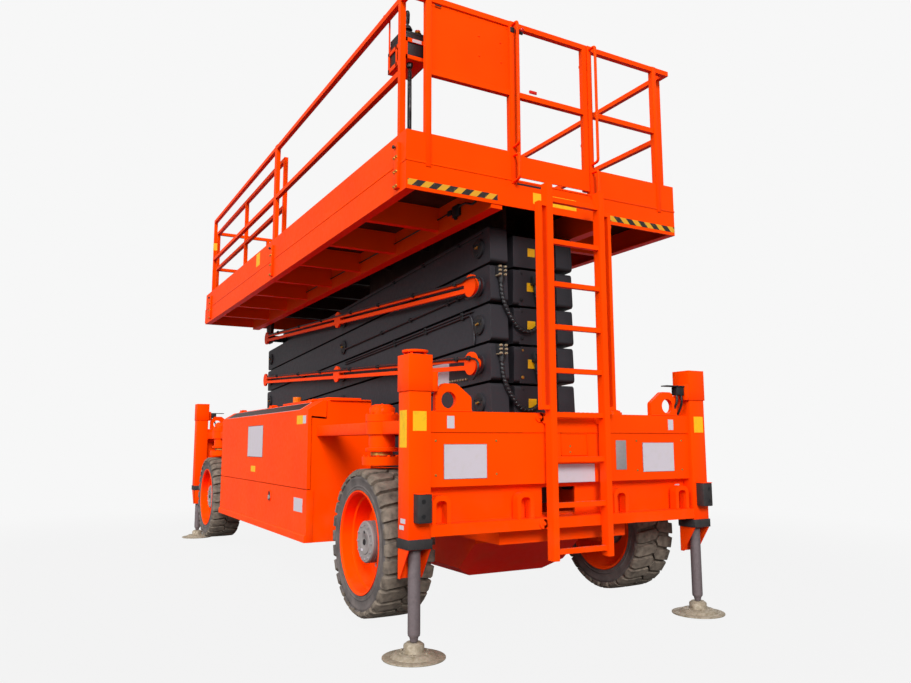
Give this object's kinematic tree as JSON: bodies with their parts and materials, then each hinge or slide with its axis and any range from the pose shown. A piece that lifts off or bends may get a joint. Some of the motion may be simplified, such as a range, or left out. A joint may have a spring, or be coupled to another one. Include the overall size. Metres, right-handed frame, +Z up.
{
  "type": "rough-terrain scissor lift",
  "caption": "Large rough-terrain scissor lift: jacking legs at the corners, steered wheels, stacked scissor arms and a railed platform with an extension deck.",
  "frame": {"origin": "on the floor, at the centre of the machine's footprint as it stands on its pads", "axes": "+Z up; +Y along the machine, away from the ladder end; +X to the right seen from the ladder end"},
  "size_m": [2.7299, 7.06, 4.318],
  "materials": {
    "orange_paint": "gloss",
    "grey_paint": "satin",
    "rim_paint": "gloss",
    "tyre_rubber": "matte",
    "black_rubber": "matte",
    "leg_steel": "satin",
    "dark_steel": "satin",
    "amber_lens": "gloss",
    "black_plastic": "matte",
    "cord_black": "matte"
  },
  "bodies": {
    "chassis": {"chassis_frame": "orange_paint", "axle_near": "orange_paint", "axle_far": "orange_paint", "end_panel_near": "orange_paint", "end_panel_far": "orange_paint", "leg_columns": "orange_paint", "ladder": "orange_paint", "cabinet_left": "orange_paint", "cabinet_right": "orange_paint", "rubber_fittings": "black_rubber", "engine_block": "dark_steel", "tank_block": "dark_steel", "beacon": "amber_lens"},
    "cover_left": {"cover_left": "orange_paint"},
    "cover_right": {"cover_right": "orange_paint"},
    "knuckle_near_left": {"knuckle_near_left": "orange_paint"},
    "wheel_near_left": {"wheel_near_left": "rim_paint", "tyre_near_left": "tyre_rubber"},
    "leg_near_left": {"leg_near_left": "leg_steel"},
    "knuckle_near_right": {"knuckle_near_right": "orange_paint"},
    "wheel_near_right": {"wheel_near_right": "rim_paint", "tyre_near_right": "tyre_rubber"},
    "leg_near_right": {"leg_near_right": "leg_steel"},
    "knuckle_far_left": {"knuckle_far_left": "orange_paint"},
    "wheel_far_left": {"wheel_far_left": "rim_paint", "tyre_far_left": "tyre_rubber"},
    "leg_far_left": {"leg_far_left": "leg_steel"},
    "knuckle_far_right": {"knuckle_far_right": "orange_paint"},
    "wheel_far_right": {"wheel_far_right": "rim_paint", "tyre_far_right": "tyre_rubber"},
    "leg_far_right": {"leg_far_right": "leg_steel"},
    "outer_arm_1": {"outer_arm_1": "grey_paint"},
    "inner_arm_1": {"inner_arm_1": "grey_paint"},
    "outer_arm_2": {"outer_arm_2": "grey_paint"},
    "inner_arm_2": {"inner_arm_2": "grey_paint"},
    "outer_arm_3": {"outer_arm_3": "grey_paint"},
    "inner_arm_3": {"inner_arm_3": "grey_paint"},
    "outer_arm_4": {"outer_arm_4": "grey_paint"},
    "inner_arm_4": {"inner_arm_4": "grey_paint", "hose_carrier_lower": "orange_paint"},
    "outer_arm_5": {"outer_arm_5": "grey_paint"},
    "inner_arm_5": {"inner_arm_5": "grey_paint"},
    "outer_arm_6": {"outer_arm_6": "grey_paint"},
    "inner_arm_6": {"inner_arm_6": "grey_paint", "hose_carrier_upper": "orange_paint"},
    "platform": {"deck_frame": "orange_paint", "guard_rails": "orange_paint", "control_basket": "orange_paint", "control_box": "black_plastic", "cord_sockets": "black_plastic", "curly_cord": "cord_black"},
    "gate": {"gate": "orange_paint"},
    "extension": {"extension_deck": "orange_paint"}
  },
  "joints": [
    {"name": "steer_near_left", "type": "hinge", "parent": "chassis", "child": "knuckle_near_left", "pos_m": [-1.057, -2.575, 1.165], "axis": [0, 0, 1], "range_deg": [-30, 30]},
    {"name": "roll_near_left", "type": "hinge", "parent": "knuckle_near_left", "child": "wheel_near_left", "pos_m": [-1.057, -2.575, 0.584], "axis": [1, 0, 0], "continuous": true},
    {"name": "leg_near_left", "type": "slide", "parent": "chassis", "child": "leg_near_left", "axis": [0, 0, -1], "range_m": [-0.4, 0.3]},
    {"name": "steer_near_right", "type": "hinge", "parent": "chassis", "child": "knuckle_near_right", "pos_m": [1.057, -2.575, 1.165], "axis": [0, 0, 1], "range_deg": [-30.5, 30.5]},
    {"name": "roll_near_right", "type": "hinge", "parent": "knuckle_near_right", "child": "wheel_near_right", "pos_m": [1.057, -2.575, 0.584], "axis": [1, 0, 0], "continuous": true},
    {"name": "leg_near_right", "type": "slide", "parent": "chassis", "child": "leg_near_right", "axis": [0, 0, -1], "range_m": [-0.4, 0.3]},
    {"name": "steer_far_left", "type": "hinge", "parent": "chassis", "child": "knuckle_far_left", "pos_m": [-1.057, 2.575, 1.165], "axis": [0, 0, 1], "range_deg": [-30, 30]},
    {"name": "roll_far_left", "type": "hinge", "parent": "knuckle_far_left", "child": "wheel_far_left", "pos_m": [-1.057, 2.575, 0.584], "axis": [1, 0, 0], "continuous": true},
    {"name": "leg_far_left", "type": "slide", "parent": "chassis", "child": "leg_far_left", "axis": [0, 0, -1], "range_m": [-0.4, 0.3]},
    {"name": "steer_far_right", "type": "hinge", "parent": "chassis", "child": "knuckle_far_right", "pos_m": [1.057, 2.575, 1.165], "axis": [0, 0, 1], "range_deg": [-30.5, 30.5]},
    {"name": "roll_far_right", "type": "hinge", "parent": "knuckle_far_right", "child": "wheel_far_right", "pos_m": [1.057, 2.575, 0.584], "axis": [1, 0, 0], "continuous": true},
    {"name": "leg_far_right", "type": "slide", "parent": "chassis", "child": "leg_far_right", "axis": [0, 0, -1], "range_m": [-0.4, 0.3]},
    {"name": "raise", "type": "hinge", "parent": "chassis", "child": "outer_arm_1", "pos_m": [0, 2.795, 0.965], "axis": [-1, 0, 0], "range_deg": [0, 52]},
    {"name": "scissor_1", "type": "hinge", "parent": "outer_arm_1", "child": "inner_arm_1", "pos_m": [0, 0, 1.11], "axis": [1, 0, 0], "range_deg": [0, 104.5]},
    {"name": "link_2", "type": "hinge", "parent": "outer_arm_1", "child": "inner_arm_2", "pos_m": [0, -2.795, 1.255], "axis": [1, 0, 0], "range_deg": [0, 104.5]},
    {"name": "scissor_2", "type": "hinge", "parent": "inner_arm_2", "child": "outer_arm_2", "pos_m": [0, 0, 1.4], "axis": [-1, 0, 0], "range_deg": [0, 104.5]},
    {"name": "link_3", "type": "hinge", "parent": "inner_arm_2", "child": "outer_arm_3", "pos_m": [0, 2.795, 1.545], "axis": [-1, 0, 0], "range_deg": [0, 104.5]},
    {"name": "scissor_3", "type": "hinge", "parent": "outer_arm_3", "child": "inner_arm_3", "pos_m": [0, 0, 1.69], "axis": [1, 0, 0], "range_deg": [0, 104.5]},
    {"name": "link_4", "type": "hinge", "parent": "outer_arm_3", "child": "inner_arm_4", "pos_m": [0, -2.795, 1.835], "axis": [1, 0, 0], "range_deg": [0, 104.5]},
    {"name": "scissor_4", "type": "hinge", "parent": "inner_arm_4", "child": "outer_arm_4", "pos_m": [0, 0, 1.98], "axis": [-1, 0, 0], "range_deg": [0, 104.5]},
    {"name": "link_5", "type": "hinge", "parent": "inner_arm_4", "child": "outer_arm_5", "pos_m": [0, 2.795, 2.125], "axis": [-1, 0, 0], "range_deg": [0, 104.5]},
    {"name": "scissor_5", "type": "hinge", "parent": "outer_arm_5", "child": "inner_arm_5", "pos_m": [0, 0, 2.27], "axis": [1, 0, 0], "range_deg": [0, 104.5]},
    {"name": "link_6", "type": "hinge", "parent": "outer_arm_5", "child": "inner_arm_6", "pos_m": [0, -2.795, 2.415], "axis": [1, 0, 0], "range_deg": [0, 104.5]},
    {"name": "scissor_6", "type": "hinge", "parent": "inner_arm_6", "child": "outer_arm_6", "pos_m": [0, 0, 2.56], "axis": [-1, 0, 0], "range_deg": [0, 104.5]},
    {"name": "platform_level", "type": "hinge", "parent": "inner_arm_6", "child": "platform", "pos_m": [0, 2.795, 2.705], "axis": [-1, 0, 0], "range_deg": [0, 52.5]},
    {"name": "extension_slide", "type": "slide", "parent": "platform", "child": "extension", "axis": [0, 1, 0], "range_m": [0, 1.5]},
    {"name": "gate_swing", "type": "hinge", "parent": "platform", "child": "gate", "pos_m": [0.337, -3.193, 3.48], "axis": [0, 0, -1], "range_deg": [0, 95]},
    {"name": "cover_left_hinge", "type": "hinge", "parent": "chassis", "child": "cover_left", "pos_m": [-1.04, -1.298, 1.639], "axis": [0, 1, 0], "range_deg": [0, 75]},
    {"name": "cover_right_hinge", "type": "hinge", "parent": "chassis", "child": "cover_right", "pos_m": [1.04, -1.298, 1.639], "axis": [0, -1, 0], "range_deg": [0, 75]}
  ],
  "couplings": [
    {"joint": "steer_near_right", "follows": "steer_near_left", "ratio": 1},
    {"joint": "steer_far_right", "follows": "steer_far_left", "ratio": 1},
    {"joint": "scissor_1", "follows": "raise", "ratio": 2},
    {"joint": "link_2", "follows": "raise", "ratio": 2},
    {"joint": "scissor_2", "follows": "raise", "ratio": 2},
    {"joint": "link_3", "follows": "raise", "ratio": 2},
    {"joint": "scissor_3", "follows": "raise", "ratio": 2},
    {"joint": "link_4", "follows": "raise", "ratio": 2},
    {"joint": "scissor_4", "follows": "raise", "ratio": 2},
    {"joint": "link_5", "follows": "raise", "ratio": 2},
    {"joint": "scissor_5", "follows": "raise", "ratio": 2},
    {"joint": "link_6", "follows": "raise", "ratio": 2},
    {"joint": "scissor_6", "follows": "raise", "ratio": 2},
    {"joint": "platform_level", "follows": "raise", "ratio": 1}
  ]
}
